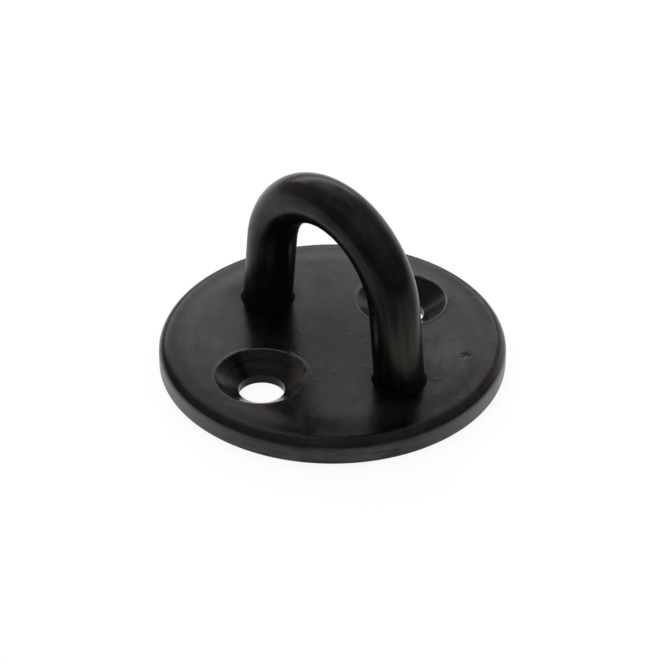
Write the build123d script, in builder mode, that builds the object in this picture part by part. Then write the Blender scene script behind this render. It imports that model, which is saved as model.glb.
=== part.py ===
from build123d import *
import os
from math import acos, atan2, cos, degrees, hypot, radians, sin, tan

# Screw-down eye plate: a round plate with two countersunk screw holes, and a round bar bent
# over into an eye. Both ends of the bar go through the plate and are welded from beneath.
#
# Millimetres, +Z up. The origin is the centre of the face that lies on the wall or deck.
# The eye stands in the XZ plane and is open along Y. The screw holes lie on the Y axis.

# Base plate
plate_diameter = 40.0
plate_thickness = 3.0
upper_rim_round = 1.3
lower_rim_break = 0.2

# Countersunk screw holes
screw_spacing = 22.0
screw_hole_diameter = 5.3
countersink_diameter = 10.5
countersink_angle = 110.0
countersink_edge_break = 0.1

# Eye, bent from round bar (6 mm stock, ground and polished)
bar_diameter = 5.8
leg_spacing = 22.2          # between the legs' centres, at the plate's upper face
bend_radius = 10.25         # of the bar's centre line
overall_height = 24.0       # from the face beneath to the top of the eye

# Weld round each foot of the bar
bar_hole_gap = 0.1          # all round the bar, in the plate's hole
groove_width = 1.0          # of the groove beneath, beyond the hole's edge
groove_depth = 1.0
weld_toe = 0.3              # corner of weld between the bar and the upper face

# Room for tools that run past a face before the cut
overrun = 1.0

bar_radius = bar_diameter / 2
bar_hole_radius = bar_radius + bar_hole_gap
groove_radius = bar_hole_radius + groove_width
foot_x = leg_spacing / 2

# Each leg is the straight line from its foot that just touches the bend,
# so the legs' lean follows from the bend's radius and height.
bend_centre_z = overall_height - bar_radius - bend_radius
foot_drop = bend_centre_z - plate_thickness
foot_to_centre = hypot(foot_x, foot_drop)
leg_lean = degrees(acos(bend_radius / foot_to_centre) - atan2(foot_drop, foot_x))
lean_slope = tan(radians(leg_lean))
bend_end_x = bend_radius * cos(radians(leg_lean))
bend_end_z = bend_centre_z + bend_radius * sin(radians(leg_lean))
saw_z = -overrun
saw_x = foot_x + (plate_thickness - saw_z) * lean_slope


def leg_plane(side):
    """Plane square to a leg, at the middle of its foot. Its z axis runs up the leg."""
    lean = radians(leg_lean)
    return Plane(
        origin=(side * foot_x, 0, plate_thickness),
        x_dir=(0, 1, 0),
        z_dir=(-side * sin(lean), 0, cos(lean)),
    )


# Base plate: disc, rims, screw holes, then a hole and a weld groove for each foot
with BuildPart() as base_plate:
    with BuildSketch():
        Circle(plate_diameter / 2)
    extrude(amount=plate_thickness)
    upper_rim = base_plate.edges().sort_by(Axis.Z)[-1]
    fillet(upper_rim, radius=upper_rim_round)
    lower_rim = base_plate.edges().sort_by(Axis.Z)[0]
    chamfer(lower_rim, length=lower_rim_break)

    with Locations(Plane.XY.offset(plate_thickness)):
        with GridLocations(0, screw_spacing, 1, 2):
            CounterSinkHole(
                radius=screw_hole_diameter / 2,
                counter_sink_radius=countersink_diameter / 2,
                counter_sink_angle=countersink_angle,
            )
    upper_edges = base_plate.edges().filter_by(GeomType.CIRCLE).group_by(Axis.Z)[-1]
    countersink_edges = [edge for edge in upper_edges if edge.radius < plate_diameter / 4]
    chamfer(countersink_edges, length=countersink_edge_break)

    for side in (-1, 1):
        with BuildSketch(leg_plane(side)):
            Circle(bar_hole_radius)
        extrude(amount=plate_thickness + overrun, both=True, mode=Mode.SUBTRACT)

        # The groove is a cone about the hole's own axis, widest at the face beneath
        with BuildSketch(leg_plane(side).offset(-(plate_thickness - groove_depth))):
            Circle(bar_hole_radius)
        extrude(
            amount=-(groove_depth + overrun),
            taper=-degrees(atan2(groove_width, groove_depth)),
            mode=Mode.SUBTRACT,
        )
base_plate.part.label = "base_plate"

# Eye: bar swept up one leg, over the bend and down the other, its ends cut flush beneath
with BuildPart() as eye_bar:
    with BuildLine(Plane.XZ) as bar_path:
        left_leg = Line((-saw_x, saw_z), (-bend_end_x, bend_end_z))
        bend = ThreePointArc(left_leg @ 1, (0, bend_centre_z + bend_radius), (bend_end_x, bend_end_z))
        Line(bend @ 1, (saw_x, saw_z))
    with BuildSketch(Plane(origin=bar_path.line @ 0, z_dir=bar_path.line % 0)):
        Circle(bar_radius)
    sweep(path=bar_path.line)
    split(bisect_by=Plane.XY, keep=Keep.TOP)
eye_bar.part.label = "eye_bar"


def leg_weld(side):
    """Weld metal of one foot: whatever the plate and the bar leave open round the joint."""
    with BuildPart() as weld:
        with BuildSketch():
            with Locations((side * foot_x, 0)):
                Circle(groove_radius + overrun)
        extrude(amount=plate_thickness)
        with BuildSketch(leg_plane(side)):
            Circle(bar_radius)
        extrude(amount=overrun, both=True)
        corner = weld.edges().filter_by(GeomType.ELLIPSE)
        chamfer(corner, length=weld_toe)
        add(base_plate.part, mode=Mode.SUBTRACT)
        add(eye_bar.part, mode=Mode.SUBTRACT)
    return weld.part


left_weld = leg_weld(-1)
left_weld.label = "left_weld"
right_weld = leg_weld(1)
right_weld.label = "right_weld"

os.makedirs("parts", exist_ok=True)
for piece in (base_plate.part, eye_bar.part, left_weld, right_weld):
    export_step(piece, f"parts/{piece.label}.step")
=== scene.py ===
import random
import bmesh
import bpy
from math import acos, atan2, ceil, cos, exp, hypot, pi, radians, sin, sqrt, tan
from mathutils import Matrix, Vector, noise
from mathutils.geometry import delaunay_2d_cdt


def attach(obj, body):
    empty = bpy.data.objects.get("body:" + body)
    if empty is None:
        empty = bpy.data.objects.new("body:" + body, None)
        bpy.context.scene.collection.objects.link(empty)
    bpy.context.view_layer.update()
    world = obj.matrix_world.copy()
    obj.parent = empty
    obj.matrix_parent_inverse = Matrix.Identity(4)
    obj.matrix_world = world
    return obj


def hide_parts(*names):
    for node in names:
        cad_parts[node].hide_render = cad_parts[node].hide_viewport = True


# Dressed model of the screw-down eye plate: a round plate with two countersunk screw holes, and a
# round bar bent over into an eye, whose ends go through the plate and are welded from beneath.
# Lengths of shapes are in millimetres until a mesh is made. The camera, the floor and the lights
# are in metres, and so is a place in a material, where millimetres are multiplied by MM.

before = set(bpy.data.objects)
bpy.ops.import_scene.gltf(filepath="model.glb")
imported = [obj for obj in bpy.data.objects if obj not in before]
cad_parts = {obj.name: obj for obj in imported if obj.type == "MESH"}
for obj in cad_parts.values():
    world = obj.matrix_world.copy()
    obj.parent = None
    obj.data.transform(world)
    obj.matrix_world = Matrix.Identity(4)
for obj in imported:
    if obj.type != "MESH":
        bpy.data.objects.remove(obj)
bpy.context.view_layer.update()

MM = 0.001
BODY = "root"
UP = Vector((0, 0, 1))
LEVEL = Vector((0, 1, 0))
QUARTER_TURN = pi / 2
FULL_TURN = 2 * pi

# Shape, as in the CAD source
PLATE_R = 20.0
PLATE_T = 3.0
RIM_ROUND = 1.3
RIM_BREAK = 0.2
HOLE_Y = 11.0
HOLE_R = 2.65
SINK_R = 5.25
SINK_HALF_ANGLE = radians(55.0)
BAR_R = 2.9
FOOT_X = 11.1
BEND_R = 10.25
TOP_Z = 24.0
BAR_GAP = 0.1
GROOVE_W = 1.0
GROOVE_D = 1.0

BAR_HOLE_R = BAR_R + BAR_GAP
GROOVE_FROM = GROOVE_D - PLATE_T    # along a leg, where its weld groove begins
BEND_Z = TOP_Z - BAR_R - BEND_R
FOOT_DROP = BEND_Z - PLATE_T
LEAN = acos(BEND_R / hypot(FOOT_X, FOOT_DROP)) - atan2(FOOT_DROP, FOOT_X)
BEND_END_X = BEND_R * cos(LEAN)
BEND_END_Z = BEND_Z + BEND_R * sin(LEAN)


# Meshes

# How far a fill's points stay from an edge: shares of the spacing on its grid, and
# millimetres for extra points
GRID_MARGIN = 0.6
SPOT_MARGIN = 0.05
ALL_TRIANGLES = 0
TRIANGLE_ERROR = 1e-7


class Shell:
    """Points in millimetres and the faces between them, built up ring by ring."""

    def __init__(self):
        self.points = []
        self.faces = []

    def ring(self, points):
        first = len(self.points)
        self.points.extend(tuple(p) for p in points)
        return list(range(first, first + len(points)))

    def band(self, a, b):
        count = len(a)
        for i in range(count):
            j = (i + 1) % count
            self.faces.append((a[i], a[j], b[j], b[i]))

    def bands(self, rings):
        for a, b in zip(rings, rings[1:]):
            self.band(a, b)

    def fan(self, ring, centre):
        hub = self.ring([centre])[0]
        for i in range(len(ring)):
            self.faces.append((ring[i], ring[(i + 1) % len(ring)], hub))

    def fill(self, loops, inside, height, spacing, extra=()):
        """Triangles from the first loop in to the others, on an even grid of points and the extra ones."""
        ids = []
        flat = []
        edges = []
        for loop in loops:
            first = len(flat)
            for k, i in enumerate(loop):
                ids.append(i)
                flat.append(Vector(self.points[i][:2]))
                edges.append((first + k, first + (k + 1) % len(loop)))
        spots = [p for p in extra if inside(*p, SPOT_MARGIN)]
        row_step = spacing * sqrt(3) / 2
        rows = ceil(PLATE_R / row_step)
        columns = ceil(PLATE_R / spacing)
        for row in range(-rows, rows + 1):
            for column in range(-columns, columns + 1):
                x = (column + (row % 2) / 2) * spacing
                y = row * row_step
                if inside(x, y, spacing * GRID_MARGIN):
                    spots.append((x, y))
        for x, y in spots:
            ids.append(self.ring([(x, y, height(x, y))])[0])
            flat.append(Vector((x, y)))
        result = delaunay_2d_cdt(flat, edges, [], ALL_TRIANGLES, TRIANGLE_ERROR, True)
        triangles, origin = result[2], result[3]
        holes = [set(loop) for loop in loops[1:]]
        for triangle in triangles:
            corners = [ids[origin[k][0]] for k in triangle]
            # A hole is convex and has no points within, so its triangles touch its own edge only
            if not any(hole.issuperset(corners) for hole in holes):
                self.faces.append(tuple(corners))


def add_piece(name, shell, node, material, grain=None):
    """A smooth mesh of a shell, which stands for a CAD node."""
    mesh = bpy.data.meshes.new(name)
    mesh.from_pydata([[c * MM for c in p] for p in shell.points], [], shell.faces)
    work = bmesh.new()
    work.from_mesh(mesh)
    bmesh.ops.recalc_face_normals(work, faces=work.faces)
    work.to_mesh(mesh)
    work.free()
    mesh.polygons.foreach_set("use_smooth", [True] * len(mesh.polygons))
    if grain is not None:
        layer = mesh.attributes.new("grain", "FLOAT_VECTOR", "POINT")
        layer.data.foreach_set("vector", [c for p in grain for c in p])
    mesh.materials.append(material)
    mesh.update()
    piece = bpy.data.objects.new(name, mesh)
    bpy.context.scene.collection.objects.link(piece)
    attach(piece, BODY)
    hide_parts(node)


def turn_angles(count):
    return [FULL_TURN * k / count for k in range(count)]


def quarter(steps):
    """Angles of a quarter turn, both ends among them."""
    return [QUARTER_TURN * k / steps for k in range(steps + 1)]


def circle(radius, z, count, y=0.0):
    return [(radius * cos(a), y + radius * sin(a), z) for a in turn_angles(count)]


def smooth_step(x):
    x = min(max(x, 0.0), 1.0)
    return x * x * (3 - 2 * x)


def rough(x, y, pattern):
    """Smooth unevenness from -1 to 1. Each pattern number gives another one."""
    return noise.noise(Vector((x, y, pattern)))


# Base plate: relief of its upper face

# The face rolls off towards the rim, more and sooner on the side that WORN_X, WORN_Y points to
ROLL_START = 15.6
ROLL_END = 18.1
ROLL_DEPTH = 0.075
ROLL_SOONER = 0.9
ROLL_DEEPER = 0.25
ROLL_START_VARIES = 0.6
ROLL_DEPTH_VARIES = 0.4
WORN_X = 0.39
WORN_Y = -0.92

# It is slightly wavy, and countersinking raised a lip round each screw hole
WAVE_HEIGHT = 0.022
WAVE_LENGTH = 8.0
RIPPLE_HEIGHT = 0.0035
RIPPLE_LENGTH = 2.2
LIP_HEIGHT = 0.026
LIP_VARIES = 0.5
LIP_WIDTH = 0.42
LIP_START = 0.1
LIP_REACH = LIP_WIDTH + 0.2

# x, y, radius and depth of each small mark; a negative depth stands proud. The pits and specks
# are where the photograph has them, the others anywhere.
PITS = [
    (12.95, 8.79, 0.15, 0.07),
    (12.55, 8.62, 0.13, 0.05),
    (13.30, 8.95, 0.13, 0.06),
    (12.86, 9.14, 0.12, 0.05),
    (13.02, 8.40, 0.12, 0.05),
]
SPECKS = [
    (-5.88, -2.2, 0.16, -0.02),
    (5.15, -4.4, 0.18, -0.02),
    (13.93, 3.09, 0.2, -0.02),
    (6.59, -1.16, 0.17, -0.02),
]
NICKS = PITS + SPECKS
NICK_COUNT = 46
NICK_REACH = 2.5                 # in radii
NICK_RINGS = (0.5, 1.0, 1.6)     # of mesh points, in radii
NICK_AROUND = 10

random.seed(11)
for _ in range(NICK_COUNT):
    nick_r = random.uniform(2.0, 18.0)
    nick_a = random.uniform(0, FULL_TURN)
    nick_size = random.uniform(0.09, 0.2)
    nick_depth = random.choice((-1, 1, 1)) * random.uniform(0.006, 0.016)
    NICKS.append((nick_r * cos(nick_a), nick_r * sin(nick_a), nick_size, nick_depth))


def roll_off(x, y):
    """How far the upper face falls towards the rim, where polishing wore it down."""
    r = hypot(x, y)
    more = max(0, (x * WORN_X + y * WORN_Y) / max(r, 1)) ** 2
    start = ROLL_START + ROLL_START_VARIES * rough(x / 9, y / 9, 3.1) - ROLL_SOONER * more
    depth = ROLL_DEPTH * (1 + ROLL_DEPTH_VARIES * rough(x / 7, y / 7, 8.4) + ROLL_DEEPER * more)
    return depth * smooth_step((r - start) / (ROLL_END - start))


def upper_z(x, y):
    z = PLATE_T - roll_off(x, y)
    z += WAVE_HEIGHT * rough(x / WAVE_LENGTH, y / WAVE_LENGTH, 0.7)
    z += RIPPLE_HEIGHT * rough(x / RIPPLE_LENGTH, y / RIPPLE_LENGTH, 5.2)
    past_edge = hypot(x, abs(y) - HOLE_Y) - SINK_R
    if past_edge < LIP_REACH:
        lip = LIP_HEIGHT * (1 + LIP_VARIES * rough(x * 0.9, y * 0.9, 2.2))
        z += lip * (1 - smooth_step((past_edge - LIP_START) / LIP_WIDTH))
    for nick_x, nick_y, size, depth in NICKS:
        far = hypot(x - nick_x, y - nick_y) / size
        if far < NICK_REACH:
            z -= depth * exp(-far * far)
    return z


# The legs' own axes, for whatever goes round a foot

def leg_axes(side):
    """Up the leg, and the direction across it that isn't level."""
    axis = Vector((-side * sin(LEAN), 0, cos(LEAN)))
    across = Vector((cos(LEAN), 0, side * sin(LEAN)))
    return axis, across


def leg_point(side, angle, radius, along):
    """Point at that radius from a leg's axis, along it from the middle of its foot."""
    axis, across = leg_axes(side)
    foot = Vector((side * FOOT_X, 0, PLATE_T))
    return foot + axis * along + (across * cos(angle) + LEVEL * sin(angle)) * radius


def leg_point_at(side, angle, radius, z):
    """The same, at height z."""
    axis, across = leg_axes(side)
    rise = across.z * cos(angle) * radius
    return leg_point(side, angle, radius, (z - PLATE_T - rise) / axis.z)


def on_plate(side, angle, radius):
    """The same, where it meets the plate's upper face."""
    near = leg_point_at(side, angle, radius, PLATE_T)
    return leg_point_at(side, angle, radius, upper_z(near.x, near.y))


def groove_ring(side, z):
    """Where the weld groove, a cone about the leg's axis, meets the plane at height z."""
    axis, across = leg_axes(side)
    slope = GROOVE_W / GROOVE_D
    points = []
    for angle in turn_angles(FOOT_COUNT):
        lift = across.z * cos(angle)
        along = (z - PLATE_T - lift * (BAR_HOLE_R + slope * GROOVE_FROM)) / (axis.z - lift * slope)
        points.append(leg_point(side, angle, BAR_HOLE_R + slope * (GROOVE_FROM - along), along))
    return points


# Base plate: its mesh

RIM_COUNT = 360
SINK_COUNT = 180
FOOT_COUNT = 128
RIM_STEPS = 16
RIM_WALL_LEVELS = (1.5, 1.3, 1.1, 0.9, 0.7, 0.5, 0.34)
RIM_BREAK_STEPS = 5
SINK_EDGE_ROUND = 0.3
SINK_EDGE_STEPS = 6
SINK_APRON = (0.62, 0.5, 0.4, 0.32, 0.25, 0.19, 0.14)    # rings past the countersink's edge
CONE_STEPS = 44
TURNING_DEPTH = 0.0045
TURNING_COUNT = 21
TURNING_FADE = 8     # the marks run out over an eighth of the cone at each end
HOLE_EDGE_ROUND = 0.12
HOLE_EDGE_STEPS = 5
HOLE_WALL_LEVELS = (0.95, 0.8, 0.65, 0.5, 0.35, 0.2)
HOLE_BREAK = 0.12
HOLE_BREAK_STEPS = 4
SINK_SLOPE = QUARTER_TURN - SINK_HALF_ANGLE
SINK_REACH = SINK_EDGE_ROUND * tan(SINK_SLOPE / 2)
THROAT_REACH = HOLE_EDGE_ROUND * tan(SINK_HALF_ANGLE / 2)
THROAT_Z = PLATE_T - (SINK_R - HOLE_R) / tan(SINK_HALF_ANGLE)
FLAT_STRIP = 0.5     # of even rings round a foot's hole, on both faces
SHARP_EDGE = 0.04    # how far a sharp edge's shading reaches
UPPER_SPACING = 0.4
LOWER_SPACING = 0.9


def rim_rings(shell):
    """From the upper face over the round and down to the face beneath."""
    rings = []
    inner = PLATE_R - RIM_ROUND
    for turn in quarter(RIM_STEPS):
        drop = RIM_ROUND * (1 - cos(turn))
        r = inner + RIM_ROUND * sin(turn)
        points = []
        for angle in turn_angles(RIM_COUNT):
            edge = upper_z(inner * cos(angle), inner * sin(angle))
            z = edge - drop + (PLATE_T - edge) * drop / RIM_ROUND
            points.append((r * cos(angle), r * sin(angle), z))
        rings.append(shell.ring(points))
    for z in RIM_WALL_LEVELS:
        rings.append(shell.ring(circle(PLATE_R, z, RIM_COUNT)))
    for turn in quarter(RIM_BREAK_STEPS):
        r = PLATE_R - RIM_BREAK * (1 - cos(turn))
        rings.append(shell.ring(circle(r, RIM_BREAK * (1 - sin(turn)), RIM_COUNT)))
    shell.bands(rings)
    return rings[0], rings[-1]


def screw_hole_rings(shell, side):
    """From the raised lip down the turned cone and the straight wall to the face beneath."""
    middle = side * HOLE_Y
    angles = turn_angles(SINK_COUNT)

    def heights(r):
        return [upper_z(r * cos(a), middle + r * sin(a)) for a in angles]

    def ring(r, levels):
        return shell.ring([(r * cos(a), middle + r * sin(a), z) for a, z in zip(angles, levels)])

    rings = [ring(SINK_R + past, heights(SINK_R + past)) for past in SINK_APRON]
    outer = SINK_R + SINK_REACH
    top = heights(outer)
    for step in range(SINK_EDGE_STEPS + 1):
        turn = SINK_SLOPE * step / SINK_EDGE_STEPS
        drop = SINK_EDGE_ROUND * (1 - cos(turn))
        rings.append(ring(outer - SINK_EDGE_ROUND * sin(turn), [z - drop for z in top]))

    start_r = outer - SINK_EDGE_ROUND * sin(SINK_SLOPE)
    start_z = [shell.points[i][2] for i in rings[-1]]
    end_r = HOLE_R + THROAT_REACH * cos(SINK_SLOPE)
    end_z = THROAT_Z + THROAT_REACH * sin(SINK_SLOPE)
    for step in range(1, CONE_STEPS + 1):
        part = step / CONE_STEPS
        fade = min(1, TURNING_FADE * part, TURNING_FADE * (1 - part))
        levels = []
        for a, z in zip(angles, start_z):
            cut = TURNING_DEPTH * rough(part * TURNING_COUNT, 0.4 * cos(a), 0.4 * sin(a) + 3 * side) * fade
            levels.append(z + (end_z - z) * part + cut)
        rings.append(ring(start_r + (end_r - start_r) * part, levels))

    for step in range(1, HOLE_EDGE_STEPS + 1):
        turn = SINK_SLOPE + SINK_HALF_ANGLE * step / HOLE_EDGE_STEPS
        r = HOLE_R + HOLE_EDGE_ROUND * (1 - sin(turn))
        z = THROAT_Z - THROAT_REACH + HOLE_EDGE_ROUND * cos(turn)
        rings.append(shell.ring(circle(r, z, SINK_COUNT, middle)))
    for z in HOLE_WALL_LEVELS:
        rings.append(shell.ring(circle(HOLE_R, z, SINK_COUNT, middle)))
    for turn in quarter(HOLE_BREAK_STEPS):
        r = HOLE_R + HOLE_BREAK * (1 - cos(turn))
        rings.append(shell.ring(circle(r, HOLE_BREAK * (1 - sin(turn)), SINK_COUNT, middle)))
    shell.bands(rings)
    return rings[0], rings[-1]


def bar_hole_rings(shell, side):
    """The leg's hole, opened out beneath into the weld groove, with a flat strip round both its edges."""
    angles = turn_angles(FOOT_COUNT)
    rings = []
    for past in (FLAT_STRIP, SHARP_EDGE, 0.0):
        rings.append(shell.ring([on_plate(side, a, BAR_HOLE_R + past) for a in angles]))
    rings.append(shell.ring([leg_point(side, a, BAR_HOLE_R, GROOVE_FROM) for a in angles]))
    rings.append(shell.ring(groove_ring(side, GROOVE_D / 2)))
    rings.append(shell.ring(groove_ring(side, SHARP_EDGE)))
    mouth = groove_ring(side, 0.0)
    middle = sum(mouth, Vector()) / len(mouth)
    for past in (0.0, SHARP_EDGE, FLAT_STRIP):
        rings.append(shell.ring([p + (p - middle).normalized() * past for p in mouth]))
    shell.bands(rings)
    return rings[0], rings[-1]


def marked_spots():
    """Rings of extra points on each small mark, so that it keeps its form."""
    spots = []
    for nick_x, nick_y, size, _ in NICKS:
        spots.append((nick_x, nick_y))
        for share in NICK_RINGS:
            for angle in turn_angles(NICK_AROUND):
                a = angle + share
                spots.append((nick_x + size * share * cos(a), nick_y + size * share * sin(a)))
    return spots


def plate_shell():
    shell = Shell()
    loops = [rim_rings(shell)]
    for side in (-1, 1):
        loops.append(screw_hole_rings(shell, side))
    for side in (-1, 1):
        loops.append(bar_hole_rings(shell, side))
    foot_r = (BAR_HOLE_R + FLAT_STRIP) / cos(LEAN)
    groove = [shell.points[i] for i in loops[-1][1]]
    groove_x = sum(p[0] for p in groove) / len(groove)
    groove_r = max(hypot(p[0] - groove_x, p[1]) for p in groove)

    def clear_of(x, y, margin, rim_r, hole_r, foot_x, around_foot):
        if hypot(x, y) > rim_r - margin:
            return False
        if hypot(x, abs(y) - HOLE_Y) < hole_r + margin:
            return False
        return hypot(abs(x) - foot_x, y) > around_foot + margin

    def on_upper(x, y, margin):
        return clear_of(x, y, margin, PLATE_R - RIM_ROUND, SINK_R + SINK_APRON[0], FOOT_X, foot_r)

    def on_lower(x, y, margin):
        return clear_of(x, y, margin, PLATE_R - RIM_BREAK, HOLE_R + HOLE_BREAK, groove_x, groove_r)

    shell.fill([loop[0] for loop in loops], on_upper, upper_z, UPPER_SPACING, marked_spots())
    shell.fill([loop[1] for loop in loops], on_lower, lambda x, y: 0.0, LOWER_SPACING)
    return shell


# Eye: one bar up the left leg, over the bend and down the right leg

BAR_AROUND = 160
LEG_STEPS = 34
BEND_STEPS = 170
BAR_END_BREAK = 0.07
BAR_SLACK = 0.008       # under its nominal radius, to leave room for its waves
BAR_WAVE = 0.012
BAR_RIPPLE = 0.003
FOOT_LEVELS = (BAR_END_BREAK, 1.0, 2.0, PLATE_T - 0.3)
LEG_FROM = 0.4          # along a leg, where its own rings begin
END_SHARES = (0.8, 0.6, 0.4, 0.2)
LEG_RUN = hypot(FOOT_X - BEND_END_X, BEND_END_Z - PLATE_T)
BEND_ARC = pi - 2 * LEAN
BEND_RUN = BEND_R * BEND_ARC
BAR_RUN = 2 * LEG_RUN + BEND_RUN

# Angle, place along the bar, radius and depth of each knock
DENT_COUNT = 26
DENT_REACH = 2.5        # in radii
DENTS = []
for _ in range(DENT_COUNT):
    dent_angle = random.uniform(0, FULL_TURN)
    dent_s = random.uniform(2, BAR_RUN - 2)
    dent_size = random.uniform(0.25, 0.5)
    DENTS.append((dent_angle, dent_s, dent_size, random.uniform(0.004, 0.014)))


def bar_radius(angle, s):
    """Polished by hand along its length, so its surface waves a little, and a few knocks show."""
    r = BAR_R - BAR_SLACK + BAR_WAVE * rough(1.7 * cos(angle), 1.7 * sin(angle), s * 0.05)
    r += BAR_RIPPLE * rough(6 * cos(angle), 6 * sin(angle), s * 0.12)
    for dent_angle, dent_s, size, depth in DENTS:
        if abs(s - dent_s) > DENT_REACH * size:
            continue
        turn = (angle - dent_angle + pi) % FULL_TURN - pi
        far = hypot(turn * BAR_R, s - dent_s) / size
        r -= depth * exp(-far * far)
    return r


def bar_shell():
    """The bar and its grain: each point's direction from the bar's axis as x and y, its place along as z."""
    shell = Shell()
    grain = []
    angles = turn_angles(BAR_AROUND)

    def ring(points, s, share=1.0):
        grain.extend((share * cos(a), share * sin(a), s) for a in angles)
        return shell.ring(points)

    def outside_first(side):
        """Angles about a leg, from the outside of the eye and the same way round on both legs."""
        return [pi - a if side < 0 else a for a in angles]

    def leg_ring(side, along, s):
        turned = zip(angles, outside_first(side))
        return ring([leg_point(side, t, bar_radius(a, s), along) for a, t in turned], s)

    def level_ring(side, radius, z, s, share=1.0):
        return ring([leg_point_at(side, t, radius, z) for t in outside_first(side)], s, share)

    def bend_ring(step):
        turn = LEAN + BEND_ARC * step / BEND_STEPS
        s = LEG_RUN + BEND_RUN * step / BEND_STEPS
        out = Vector((-cos(turn), 0, sin(turn)))
        middle = UP * BEND_Z + out * BEND_R
        return ring([middle + (out * cos(a) + LEVEL * sin(a)) * bar_radius(a, s) for a in angles], s)

    leg_places = [LEG_FROM + (LEG_RUN - LEG_FROM) * step / LEG_STEPS for step in range(LEG_STEPS + 1)]
    rings = [level_ring(-1, BAR_R - BAR_END_BREAK, 0.0, -PLATE_T)]
    for z in FOOT_LEVELS:
        rings.append(level_ring(-1, BAR_R - BAR_SLACK, z, z - PLATE_T))
    for along in leg_places:
        rings.append(leg_ring(-1, along, along))
    for step in range(1, BEND_STEPS):
        rings.append(bend_ring(step))
    for along in reversed(leg_places):
        rings.append(leg_ring(1, along, BAR_RUN - along))
    for z in reversed(FOOT_LEVELS):
        rings.append(level_ring(1, BAR_R - BAR_SLACK, z, BAR_RUN + PLATE_T - z))
    rings.append(level_ring(1, BAR_R - BAR_END_BREAK, 0.0, BAR_RUN + PLATE_T))
    shell.bands(rings)

    # Sawn and ground ends
    for side, outer, s in ((-1, rings[0], -PLATE_T), (1, rings[-1], BAR_RUN + PLATE_T)):
        inner_rings = [level_ring(side, BAR_R * share, 0.0, s, share) for share in END_SHARES]
        shell.bands([outer] + inner_rings)
        shell.fan(inner_rings[-1], leg_point_at(side, 0.0, 0.0, 0.0))
        grain.append((0, 0, s))
    return shell, grain


# Weld round each foot

TOE = 0.27
TOE_VARIES = 0.25
TOE_VARIES_FINELY = 0.08
TOE_STEPS = 8
TOE_RISE = 1.3                                # its height, as a share of its width
TOE_EDGES = ((0.06, 0.015), (0.07, 0.06))     # past the toe, and under the plate's face
WELD_SINK = 0.02                              # into the bar
WELD_FROM = 0.1                               # under the plate's face, where it fills the gap
GROUND_STEPS = 10
GROUND_Z = 0.03
GROUND_HOLLOW = 0.035
GROUND_ROUGH = 0.03
GROUND_LOWEST = 0.006


def weld_shell(side):
    shell = Shell()
    angles = turn_angles(FOOT_COUNT)
    axis = leg_axes(side)[0]
    inner = BAR_R - WELD_SINK
    size = []
    for angle in angles:
        bead = rough(2.1 * cos(angle), 2.1 * sin(angle), 5.0 * side)
        fine = rough(5.0 * cos(angle), 5.0 * sin(angle), 7.0 * side)
        size.append(TOE * (1 + TOE_VARIES * bead + TOE_VARIES_FINELY * fine))
    rings = []
    for turn in quarter(TOE_STEPS):
        points = []
        for angle, toe in zip(angles, size):
            base = on_plate(side, angle, inner + toe * (1 - cos(turn)))
            points.append(base + axis * toe * TOE_RISE * (1 - sin(turn)))
        rings.append(shell.ring(points))
    # Its thin edge runs out just under the plate's face
    for past, below in TOE_EDGES:
        edge = [on_plate(side, a, inner + toe + past) - UP * below for a, toe in zip(angles, size)]
        rings.append(shell.ring(edge))
    rings.append(shell.ring([leg_point_at(side, a, BAR_HOLE_R, PLATE_T - WELD_FROM) for a in angles]))
    rings.append(shell.ring([leg_point(side, a, BAR_HOLE_R, GROOVE_FROM) for a in angles]))

    # Ground face beneath, a little hollow and uneven
    outer = groove_ring(side, GROUND_Z)
    rings.append(shell.ring(outer))
    for step in range(1, GROUND_STEPS):
        part = step / GROUND_STEPS
        points = []
        for angle, edge in zip(angles, outer):
            foot = leg_point_at(side, angle, inner, 0.0)
            x = edge.x + (foot.x - edge.x) * part
            y = edge.y + (foot.y - edge.y) * part
            z = GROUND_Z + GROUND_HOLLOW * sin(pi * part) + GROUND_ROUGH * rough(x * 1.3, y * 1.3, 2.0 * side)
            points.append((x, y, max(z, GROUND_LOWEST)))
        rings.append(shell.ring(points))
    for z in (GROUND_Z, PLATE_T):
        rings.append(shell.ring([leg_point_at(side, a, inner, z) for a in angles]))
    shell.bands(rings + rings[:1])
    return shell


# Materials

class Tree:
    """Short names for making and joining the nodes of a material or of the world."""

    def __init__(self, owner):
        owner.use_nodes = True
        self.nodes = owner.node_tree.nodes
        self.links = owner.node_tree.links

    def set(self, socket, value):
        if isinstance(value, bpy.types.NodeSocket):
            self.links.new(value, socket)
        else:
            socket.default_value = value

    def node(self, kind, inputs=None, **settings):
        """A new node with these settings, and with these inputs by name or number."""
        node = self.nodes.new("ShaderNode" + kind)
        for name, value in settings.items():
            setattr(node, name, value)
        for key, value in (inputs or {}).items():
            self.set(node.inputs[key], value)
        return node

    def maths(self, kind, *values):
        return self.node("Math", dict(enumerate(values)), operation=kind).outputs[0]

    def plus(self, a, b):
        return self.maths("ADD", a, b)

    def minus(self, a, b):
        return self.maths("SUBTRACT", a, b)

    def times(self, a, b):
        return self.maths("MULTIPLY", a, b)

    def most(self, a, b):
        return self.maths("MAXIMUM", a, b)

    def size_of(self, a):
        return self.maths("ABSOLUTE", a)

    def power(self, a, b):
        return self.maths("POWER", a, b)

    def added(self, a, b):
        """Two shaders, one on the other."""
        return self.node("AddShader", {0: a, 1: b}).outputs[0]

    def chosen(self, fac, a, b):
        """Shader a where fac is 0, shader b where it is 1."""
        return self.node("MixShader", {0: fac, 1: a, 2: b}).outputs[0]


# The coat is mostly dark metal, whose colour is what it reflects head-on
COAT_IOR = 1.33
COAT_METAL = 0.7
WELD_SPECULAR = 0.08

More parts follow.
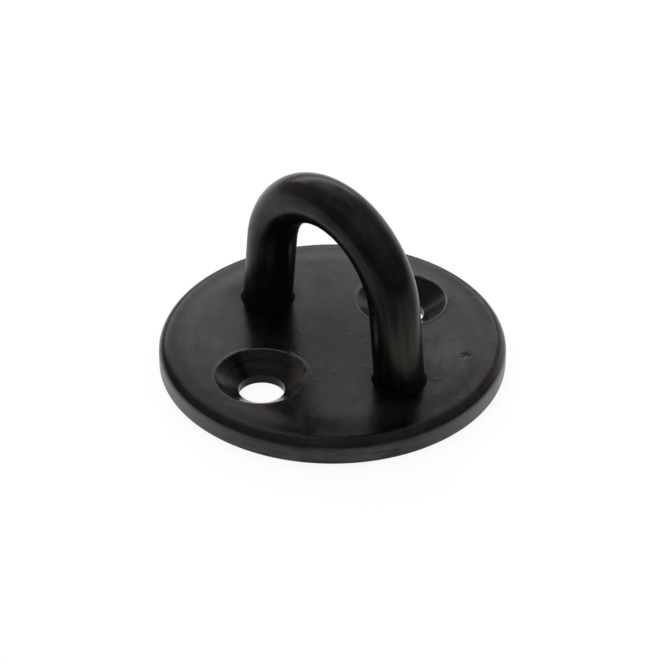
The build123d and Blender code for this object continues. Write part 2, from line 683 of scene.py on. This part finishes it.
PLATE_DARK = (0.0135, 0.0128, 0.0142)
PLATE_PALE = (0.0355, 0.0335, 0.0362)
PLATE_WARM = (0.0270, 0.0218, 0.0185)
# Painted shade, round the feet and between the legs
PLATE_SHADE = (0.0025, 0.0024, 0.0026)
# Painted shade in the hollow inside the rim's round
PLATE_HOLLOW_SHADE = (0.0030, 0.0029, 0.0029)
PLATE_PIT = (0.0012, 0.0012, 0.0012)
TURNED_DARK = (0.0035, 0.0034, 0.0036)
TURNED_PALE = (0.0190, 0.0180, 0.0176)
# Painted brown reflection in the countersinks
TURNED_BROWN_REFLECTION = (0.078, 0.054, 0.038)
# Painted shade on the screw holes' straight walls
HOLE_WALL = (0.0125, 0.012, 0.012)
RIM_DARK = (0.021, 0.0203, 0.0205)
RIM_PALE = (0.062, 0.0595, 0.0585)
# Painted sheen on two opposite sides of the rim's wall
RIM_SHEEN = (0.130, 0.125, 0.122)
# Painted highlight on the edges
EDGE_HIGHLIGHT = (0.105, 0.099, 0.094)
BAR_DARK = (0.0065, 0.0063, 0.0061)
BAR_PALE = (0.0245, 0.0239, 0.0229)
# Painted olive sheen on the right leg
BAR_OLIVE_SHEEN = (0.0285, 0.0280, 0.0215)
# Painted brown reflection on the crown
BAR_BROWN_REFLECTION = (0.031, 0.0230, 0.0198)
# Painted shade on the right leg's middle
BAR_SHADE = (0.0030, 0.0030, 0.0028)
WELD_DARK = (0.0012, 0.0011, 0.0011)
WELD_PALE = (0.0034, 0.0032, 0.0030)

# Painted shade and painted light on the plate, as darker and paler stretches: place, reach and change of tone
SHADE_AND_LIGHT_PATCHES = [
    ((-10.9, 9.7, 3.0), 8.0, -0.12),
    ((5.3, 16.6, 3.0), 6.0, -0.16),
    ((13.2, 9.8, 3.0), 6.0, 0.11),
    ((6.2, -8.4, 3.0), 7.0, -0.19),
    ((-1.2, 0.8, 3.0), 6.0, -0.06),
    ((14.2, -10.3, 3.0), 4.5, -0.16),
]

# The bar's stretches of painted sheen, painted reflection and painted shade: place and reach
OLIVE_SHEEN_STRETCH = ((14.0, 0.5, 9.0), 7.5)
BROWN_REFLECTION_STRETCH = ((-4.0, -0.6, 23.0), 3.1)
LEG_SHADE_STRETCH = ((12.2, -2.1, 14.5), 6.0)

# The rim's wall is painted paler at both ends of this level direction, a painted sheen where the wall is seen
# edge-on
SHEEN_X = 0.68
SHEEN_Y = 0.73

# Towards the side of a countersink with the painted brown reflection, with y away from the plate's middle
REFLECTION_X = 0.68
REFLECTION_Y = -0.73

# Radii of the hollow inside the rim's round, and of the painted highlight line on the round
HOLLOW_R = 18.4
HIGHLIGHT_R = 18.9

# How far the dark round the pits reaches
PIT_REACH = 0.85

# Moving a pattern far along gives another one, in metres
WARM_SHIFT = 0.31
PATCH_SHIFT = 0.43


class Coat(Tree):
    """Nodes for the surfaces. A point's place is in metres."""

    def __init__(self, name):
        self.material = bpy.data.materials.new(name)
        super().__init__(self.material)
        self.shader = self.nodes.get("Principled BSDF")
        self.place = self.node("TexCoord").outputs["Object"]
        self.x, self.y, self.z = self.node("SeparateXYZ", {0: self.place}).outputs
        self.give("IOR", COAT_IOR)

    def give(self, name, value):
        self.set(self.shader.inputs[name], value)

    def scaled(self, vector, scale):
        return self.node("Mapping", {"Vector": vector, "Scale": scale}).outputs["Vector"]

    def turned(self, vector, angle, scale):
        turn = self.node("Mapping", {"Vector": vector, "Rotation": (0, 0, angle)}, vector_type="TEXTURE")
        return self.scaled(turn.outputs["Vector"], scale)

    def noise(self, vector, scale, detail=2.0, roughness=0.5):
        inputs = {"Vector": vector, "Scale": scale, "Detail": detail, "Roughness": roughness}
        return self.node("TexNoise", inputs).outputs["Fac"]

    def spread(self, value, low, high, out_low, out_high):
        """out_low where the value is low, out_high where it is high, and a straight line between."""
        inputs = {"Value": value, "From Min": low, "From Max": high, "To Min": out_low, "To Max": out_high}
        return self.node("MapRange", inputs).outputs["Result"]

    def mix(self, fac, dark, light):
        node = self.node("Mix", {"Factor": fac}, data_type="RGBA")
        for index, colour in ((6, dark), (7, light)):
            self.set(node.inputs[index], (*colour, 1) if isinstance(colour, tuple) else colour)
        return node.outputs[2]

    def bump(self, height, distance, below=None):
        node = self.node("Bump", {"Distance": distance, "Height": height})
        if below is not None:
            self.set(node.inputs["Normal"], below)
        return node.outputs["Normal"]

    def joined(self, x, y, z):
        return self.node("CombineXYZ", {0: x, 1: y, 2: z}).outputs[0]

    def near(self, spot, reach):
        """1 at a spot in millimetres, falling to 0 at that reach from it."""
        middle = [c * MM for c in spot]
        far = self.node("VectorMath", {0: self.place, 1: middle}, operation="DISTANCE")
        return self.spread(far.outputs["Value"], 0.0, reach * MM, 1.0, 0.0)

    def along(self, x_share, y_share):
        """How far in a level direction, in metres."""
        return self.plus(self.times(self.x, x_share), self.times(self.y, y_share))

    def from_axis(self, x, y, middle_x, middle_y):
        """How far from an upright line, in metres."""
        across = self.minus(x, middle_x * MM)
        along = self.minus(y, middle_y * MM)
        return self.maths("SQRT", self.plus(self.times(across, across), self.times(along, along)))

    def off(self, value, middle):
        """How far a length is from one in millimetres, either way."""
        return self.size_of(self.minus(value, middle * MM))

    def scratches(self, angle, across, along, level):
        """Thin lines one way, 1 on a line and 0 beside it."""
        lines = self.noise(self.turned(self.place, angle, (across, along, along)), 1.0, 1.0)
        return self.spread(lines, level, level + 0.03, 0.0, 1.0)


def satin_black():
    """The plate's coat: blackened steel, satin and mottled, with hair scratches, painted highlights on its
    edges, and patches of painted shade and light.
    """
    g = Coat("satin_black")
    g.give("Metallic", COAT_METAL)
    from_hole = g.from_axis(g.x, g.size_of(g.y), 0, HOLE_Y)
    from_foot = g.from_axis(g.size_of(g.x), g.y, FOOT_X, 0)
    from_middle = g.from_axis(g.x, g.y, 0, 0)
    above = g.spread(g.z, 0.9 * MM, 1.0 * MM, 0.0, 1.0)
    beneath = g.spread(g.z, 0.02 * MM, 0.06 * MM, 1.0, 0.0)

    cloud = g.noise(g.place, 330.0, 4.0, 0.62)
    patch = g.noise(g.place, 110.0, 3.0, 0.55)
    fine = g.noise(g.place, 2300.0, 3.0, 0.6)
    smear = g.noise(g.turned(g.place, 0.75, (900.0, 190.0, 190.0)), 1.0, 4.0, 0.62)
    warm = g.noise(g.joined(g.plus(g.x, WARM_SHIFT), g.y, g.z), 150.0, 3.0, 0.6)

    tone = g.plus(g.plus(g.times(cloud, 0.4), g.times(patch, 0.2)), g.times(smear, 0.4))
    # Painted shade and painted light, in patches
    for spot, reach, shift in SHADE_AND_LIGHT_PATCHES:
        tone = g.plus(tone, g.times(g.near(spot, reach), shift))
    coat = g.mix(g.spread(tone, 0.38, 0.62, 0.0, 1.0), PLATE_DARK, PLATE_PALE)
    coat = g.mix(g.spread(warm, 0.50, 0.66, 0.0, 0.85), coat, PLATE_WARM)

    # Painted shade round the feet and in the middle between the legs, where the eye blocks light from the
    # plate
    foot_shade_reach = g.plus(from_foot, g.spread(cloud, 0.3, 0.7, -0.7 * MM, 0.7 * MM))
    at_foot = g.power(g.spread(foot_shade_reach, 2.8 * MM, 6.4 * MM, 1.0, 0.0), 1.6)
    middle = g.plus(from_middle, g.spread(patch, 0.3, 0.7, -2 * MM, 2 * MM))
    foot_and_middle_shade = g.most(at_foot, g.spread(middle, 5 * MM, 13 * MM, 0.62, 0.0))
    coat = g.mix(foot_and_middle_shade, coat, PLATE_SHADE)

    # Painted shade too in the hollow just inside the rim's round, most of all where it is worn deepest
    deepest = g.spread(g.along(WORN_X, WORN_Y), 0.0, 14 * MM, 0.1, 1.0)
    hollow_shade = g.times(g.spread(g.off(from_middle, HOLLOW_R), 0.4 * MM, 1.7 * MM, 0.7, 0.0), deepest)
    coat = g.mix(hollow_shade, coat, PLATE_HOLLOW_SHADE)

    # Darker in the pits
    near_pits = g.spread(g.near((*PITS[0][:2], PLATE_T), PIT_REACH), 0.0, 0.5, 0.0, 1.0)
    pitted = g.times(near_pits, g.spread(g.noise(g.place, 2600.0, 1.0), 0.44, 0.52, 0.0, 1.0))
    coat = g.mix(pitted, coat, PLATE_PIT)

    # Countersinks: turned in rings, with a painted brown reflection towards one side, and painted shade on
    # the straight wall
    ring_place = g.joined(g.times(from_hole, 9000.0), g.times(g.x, 60.0), g.times(g.y, 60.0))
    rings = g.spread(g.noise(ring_place, 1.0, 2.0, 0.6), 0.36, 0.64, 0.0, 1.0)
    in_cone = g.times(g.spread(from_hole, 5.1 * MM, 5.2 * MM, 1.0, 0.0), above)
    coat = g.mix(in_cone, coat, g.mix(rings, TURNED_DARK, TURNED_PALE))
    # Painted brown reflection on one side of each cone
    hole_away = g.minus(g.size_of(g.y), HOLE_Y * MM)
    to_side = g.plus(g.times(g.x, REFLECTION_X), g.times(hole_away, REFLECTION_Y))
    brown = g.times(g.spread(to_side, 2.9 * MM, 4.4 * MM, 0.0, 1.0), in_cone)
    brown = g.times(brown, g.spread(g.noise(g.place, 800.0, 2.0, 0.6), 0.36, 0.60, 0.15, 1.0))
    brown = g.times(brown, g.spread(g.y, -4 * MM, 4 * MM, 1.0, 0.15))
    coat = g.mix(brown, coat, TURNED_BROWN_REFLECTION)
    # Painted shade darkening the screw hole's straight wall
    coat = g.mix(g.spread(from_hole, 2.72 * MM, 2.9 * MM, 1.0, 0.0), coat, HOLE_WALL)

    # Rim: rubbed paler round its upright wall, in streaks, and paler still on two opposite sides, a painted
    # sheen
    down_rim = g.times(g.plus(g.z, from_middle), 2600.0)
    streaks = g.noise(g.joined(g.times(g.x, 170.0), g.times(g.y, 170.0), down_rim), 1.0, 4.0, 0.65)
    on_rim = g.spread(from_middle, 19.82 * MM, 19.95 * MM, 0.0, 1.0)
    rub = g.plus(g.times(streaks, 0.55), g.times(cloud, 0.45))
    rubbed = g.mix(g.spread(rub, 0.38, 0.62, 0.0, 1.0), RIM_DARK, RIM_PALE)
    sheen_side = g.size_of(g.along(SHEEN_X, SHEEN_Y))
    rubbed = g.mix(g.spread(sheen_side, 8.5 * MM, 16.5 * MM, 0.0, 0.65), rubbed, RIM_SHEEN)
    coat = g.mix(on_rim, coat, rubbed)

    # Painted highlights: thin pale lines on the countersinks' edges and, fainter, on the rim's round
    at_edge = g.spread(g.off(from_hole, SINK_R + 0.01), 0.03 * MM, 0.12 * MM, 1.0, 0.0)
    at_rim = g.spread(g.off(from_middle, HIGHLIGHT_R), 0.1 * MM, 0.4 * MM, 1.0, 0.0)
    at_rim = g.times(at_rim, g.maths("MULTIPLY_ADD", deepest, -0.14, 0.15))
    broken = g.spread(g.noise(g.place, 700.0, 3.0, 0.6), 0.40, 0.60, 0.15, 1.0)
    worn = g.times(g.times(g.most(at_edge, at_rim), broken), above)
    g.give("Base Color", g.mix(worn, coat, EDGE_HIGHLIGHT))

    even = g.plus(g.spread(cloud, 0.3, 0.7, 0.19, 0.27), g.spread(smear, 0.35, 0.65, -0.02, 0.03))
    even = g.plus(even, g.spread(fine, 0.3, 0.7, -0.02, 0.03))
    g.give("Roughness", g.plus(even, g.times(on_rim, 0.12)))

    # Relief too fine for the mesh: hair scratches, the rim's streaks, and straight grinding marks beneath
    hair = g.most(g.scratches(0.5, 5200.0, 130.0, 0.66), g.scratches(2.2, 4300.0, 110.0, 0.67))
    hair = g.most(hair, g.scratches(1.35, 3600.0, 160.0, 0.68))
    ground = g.noise(g.scaled(g.place, (260.0, 7000.0, 1.0)), 1.0, 3.0, 0.6)
    normal = g.bump(cloud, 0.016 * MM)
    normal = g.bump(fine, 0.0045 * MM, normal)
    normal = g.bump(hair, -0.0012 * MM, normal)
    normal = g.bump(g.times(streaks, on_rim), 0.012 * MM, normal)
    normal = g.bump(g.times(ground, beneath), 0.006 * MM, normal)
    g.give("Normal", normal)
    return g.material


def gloss_black():
    """The bar's coat: polished lengthwise, so its streaks run along it."""
    g = Coat("gloss_black")
    g.give("Metallic", COAT_METAL)
    grain = g.node("Attribute", attribute_name="grain").outputs["Vector"]
    streak = g.noise(g.scaled(grain, (4.0, 4.0, 0.10)), 1.0, 4.0, 0.6)
    fine = g.noise(g.scaled(grain, (24.0, 24.0, 0.30)), 1.0, 3.0, 0.6)
    cloud = g.noise(g.place, 300.0, 4.0, 0.62)
    patch = g.noise(g.joined(g.x, g.y, g.plus(g.z, PATCH_SHIFT)), 120.0, 3.0, 0.55)

    tone = g.plus(g.times(streak, 0.45), g.times(cloud, 0.55))
    coat = g.mix(g.spread(tone, 0.38, 0.62, 0.0, 1.0), BAR_DARK, BAR_PALE)
    # Painted olive sheen on the right leg
    olive_sheen = g.times(g.near(*OLIVE_SHEEN_STRETCH), g.spread(streak, 0.42, 0.58, 0.65, 1.35))
    coat = g.mix(olive_sheen, coat, BAR_OLIVE_SHEEN)
    # Painted brown reflection on the crown
    brown = g.times(g.near(*BROWN_REFLECTION_STRETCH), g.spread(cloud, 0.40, 0.56, 0.8, 2.6))
    coat = g.mix(g.maths("MINIMUM", brown, 1.0), coat, BAR_BROWN_REFLECTION)
    # Painted shade: a darker stretch on the right leg's middle
    dull = g.times(g.near(*LEG_SHADE_STRETCH), g.spread(streak, 0.40, 0.56, 1.3, 0.7))
    coat = g.mix(g.maths("MINIMUM", dull, 1.0), coat, BAR_SHADE)
    g.give("Base Color", coat)

    even = g.plus(g.spread(fine, 0.3, 0.7, 0.20, 0.26), g.spread(cloud, 0.3, 0.7, -0.04, 0.05))
    on_left = g.spread(g.x, -8.2 * MM, -6.6 * MM, 1.0, 0.0)
    left_leg = g.times(on_left, g.spread(g.z, 14 * MM, 19 * MM, 1.0, 0.0))
    even = g.plus(even, g.times(left_leg, 0.16))
    g.give("Roughness", g.plus(even, g.spread(patch, 0.35, 0.65, -0.02, 0.04)))

    normal = g.bump(streak, 0.014 * MM)
    normal = g.bump(fine, 0.003 * MM, normal)
    normal = g.bump(cloud, 0.018 * MM, normal)
    g.give("Normal", normal)
    return g.material


def weld_black():
    """Weld metal under the same coat, rougher and duller."""
    g = Coat("weld_black")
    cloud = g.noise(g.place, 1100.0, 4.0, 0.6)
    g.give("Base Color", g.mix(g.spread(cloud, 0.3, 0.7, 0.0, 1.0), WELD_DARK, WELD_PALE))
    g.give("Roughness", g.spread(cloud, 0.3, 0.7, 0.55, 0.7))
    g.give("Specular IOR Level", WELD_SPECULAR)
    g.give("Normal", g.bump(cloud, 0.012 * MM))
    return g.material


weld_finish = weld_black()
bar, bar_grain = bar_shell()
add_piece("eye_plate_base", plate_shell(), "base_plate", satin_black())
add_piece("eye_loop", bar, "eye_bar", gloss_black(), bar_grain)
add_piece("foot_weld_left", weld_shell(-1), "left_weld", weld_finish)
add_piece("foot_weld_right", weld_shell(1), "right_weld", weld_finish)


# Camera, at the photograph's angle

VIEW_AZIMUTH = radians(47.063)
VIEW_ELEVATION = radians(35.714)
VIEW_DISTANCE = 0.39786
VIEW_AIM = Vector((0, 0, 0.00366))
SENSOR_WIDTH = 36.0
LENS_LENGTH = 187.29
AWAY = Vector((-sin(VIEW_AZIMUTH), cos(VIEW_AZIMUTH), 0))
RIGHT = Vector((cos(VIEW_AZIMUTH), sin(VIEW_AZIMUTH), 0))


def make_camera():
    back = UP * sin(VIEW_ELEVATION) - AWAY * cos(VIEW_ELEVATION)
    data = bpy.data.cameras.new("camera")
    data.sensor_width = SENSOR_WIDTH
    data.lens = LENS_LENGTH
    data.clip_start = 0.01
    data.clip_end = 50.0
    camera = bpy.data.objects.new("camera", data)
    camera.location = VIEW_AIM + back * VIEW_DISTANCE
    camera.rotation_euler = (-back).to_track_quat("-Z", "Y").to_euler()
    bpy.context.scene.collection.objects.link(camera)
    bpy.context.scene.camera = camera


# Floor: white to the eye and in reflections, a plain pale floor for the light that it bounces

FLOOR_HALF = 3.0
FLOOR_Z = -0.00005
FLOOR_COLOUR = (0.8, 0.8, 0.8, 1)
SHADE_COLOUR = (0.22, 0.22, 0.22, 1)    # the share of its white that a shadow can take away
FLOOR_GLOW = 0.885


def make_floor():
    mesh = bpy.data.meshes.new("floor")
    signs = ((-1, -1), (1, -1), (1, 1), (-1, 1))
    mesh.from_pydata([(a * FLOOR_HALF, b * FLOOR_HALF, FLOOR_Z) for a, b in signs], [], [(0, 1, 2, 3)])
    material = bpy.data.materials.new("floor")
    g = Tree(material)
    g.nodes.clear()
    path = g.node("LightPath")
    seen = path.outputs["Is Camera Ray"]
    for name in ("Is Glossy Ray", "Is Transmission Ray"):
        seen = g.most(seen, path.outputs[name])
    plain = g.node("BsdfDiffuse", {"Color": FLOOR_COLOUR}).outputs[0]
    shade = g.node("BsdfDiffuse", {"Color": SHADE_COLOUR}).outputs[0]
    white = g.added(shade, g.node("Emission", {"Strength": FLOOR_GLOW}).outputs[0])
    # Clear from beneath, so that the underside can be looked at
    from_beneath = g.node("NewGeometry").outputs["Backfacing"]
    surface = g.chosen(from_beneath, g.chosen(seen, plain, white), g.node("BsdfTransparent").outputs[0])
    g.node("OutputMaterial", {"Surface": surface})
    mesh.materials.append(material)
    floor = bpy.data.objects.new("floor", mesh)
    bpy.context.scene.collection.objects.link(floor)


# Studio: a plain grey room, brighter overhead, with two soft glows. Angles are in degrees, from
# straight behind the object as the photograph sees it, towards the left, and above the horizon.

ROOM_LEVEL = 0.26
CEILING_LEVEL = 0.38
CEILING_SHARPNESS = 3.0
WHITE = (1.0, 1.0, 1.0)
GLOWS = [
    # left, up, sharpness, level, colour
    (16, 47, 22.0, 1.40, WHITE),
    (-42, 11, 24.0, 1.20, (1.04, 1.0, 0.95)),
]


def make_world():
    world = bpy.data.worlds.new("studio")
    bpy.context.scene.world = world
    g = Tree(world)
    g.nodes.clear()
    direction = g.node("TexCoord").outputs["Generated"]

    def towards(aim):
        return g.node("VectorMath", {0: direction, 1: aim}, operation="DOT_PRODUCT").outputs["Value"]

    def light(strength, colour):
        return g.node("Background", {"Color": (*colour, 1), "Strength": strength}).outputs[0]

    height = g.most(towards(UP), 0.0)
    overhead = g.times(g.power(height, CEILING_SHARPNESS), CEILING_LEVEL)
    total = light(g.plus(overhead, ROOM_LEVEL), WHITE)
    for left, up, sharpness, level, colour in GLOWS:
        flat = AWAY * cos(radians(left)) - RIGHT * sin(radians(left))
        aim = flat * cos(radians(up)) + UP * sin(radians(up))
        fall = g.maths("EXPONENT", g.times(g.minus(towards(aim), 1.0), sharpness))
        total = g.added(total, light(g.times(fall, level), colour))
    backdrop = light(1.0, WHITE)
    seen = g.node("LightPath").outputs["Is Camera Ray"]
    g.node("OutputWorld", {"Surface": g.chosen(seen, total, backdrop)})


def panel(name, left, up, away, width, height, level, colour):
    """A soft panel, upright behind the object. level is how bright it looks, with 1 for white."""
    lamp = bpy.data.lights.new(name, "AREA")
    lamp.shape = "RECTANGLE"
    lamp.size = width
    lamp.size_y = height
    lamp.energy = level * pi * width * height
    lamp.color = colour
    lamp_object = bpy.data.objects.new(name, lamp)
    lamp_object.location = AWAY * away - RIGHT * left + UP * up
    lamp_object.rotation_euler = AWAY.to_track_quat("Z", "Y").to_euler()
    lamp_object.visible_camera = False
    bpy.context.scene.collection.objects.link(lamp_object)


make_camera()
make_floor()
make_world()
panel(
    "panel_back",
    left=0.048,
    up=0.135,
    away=0.26,
    width=0.32,
    height=0.09,
    level=1.95,
    colour=(0.97, 0.985, 1.03),
)

bpy.context.scene.view_settings.view_transform = "Standard"
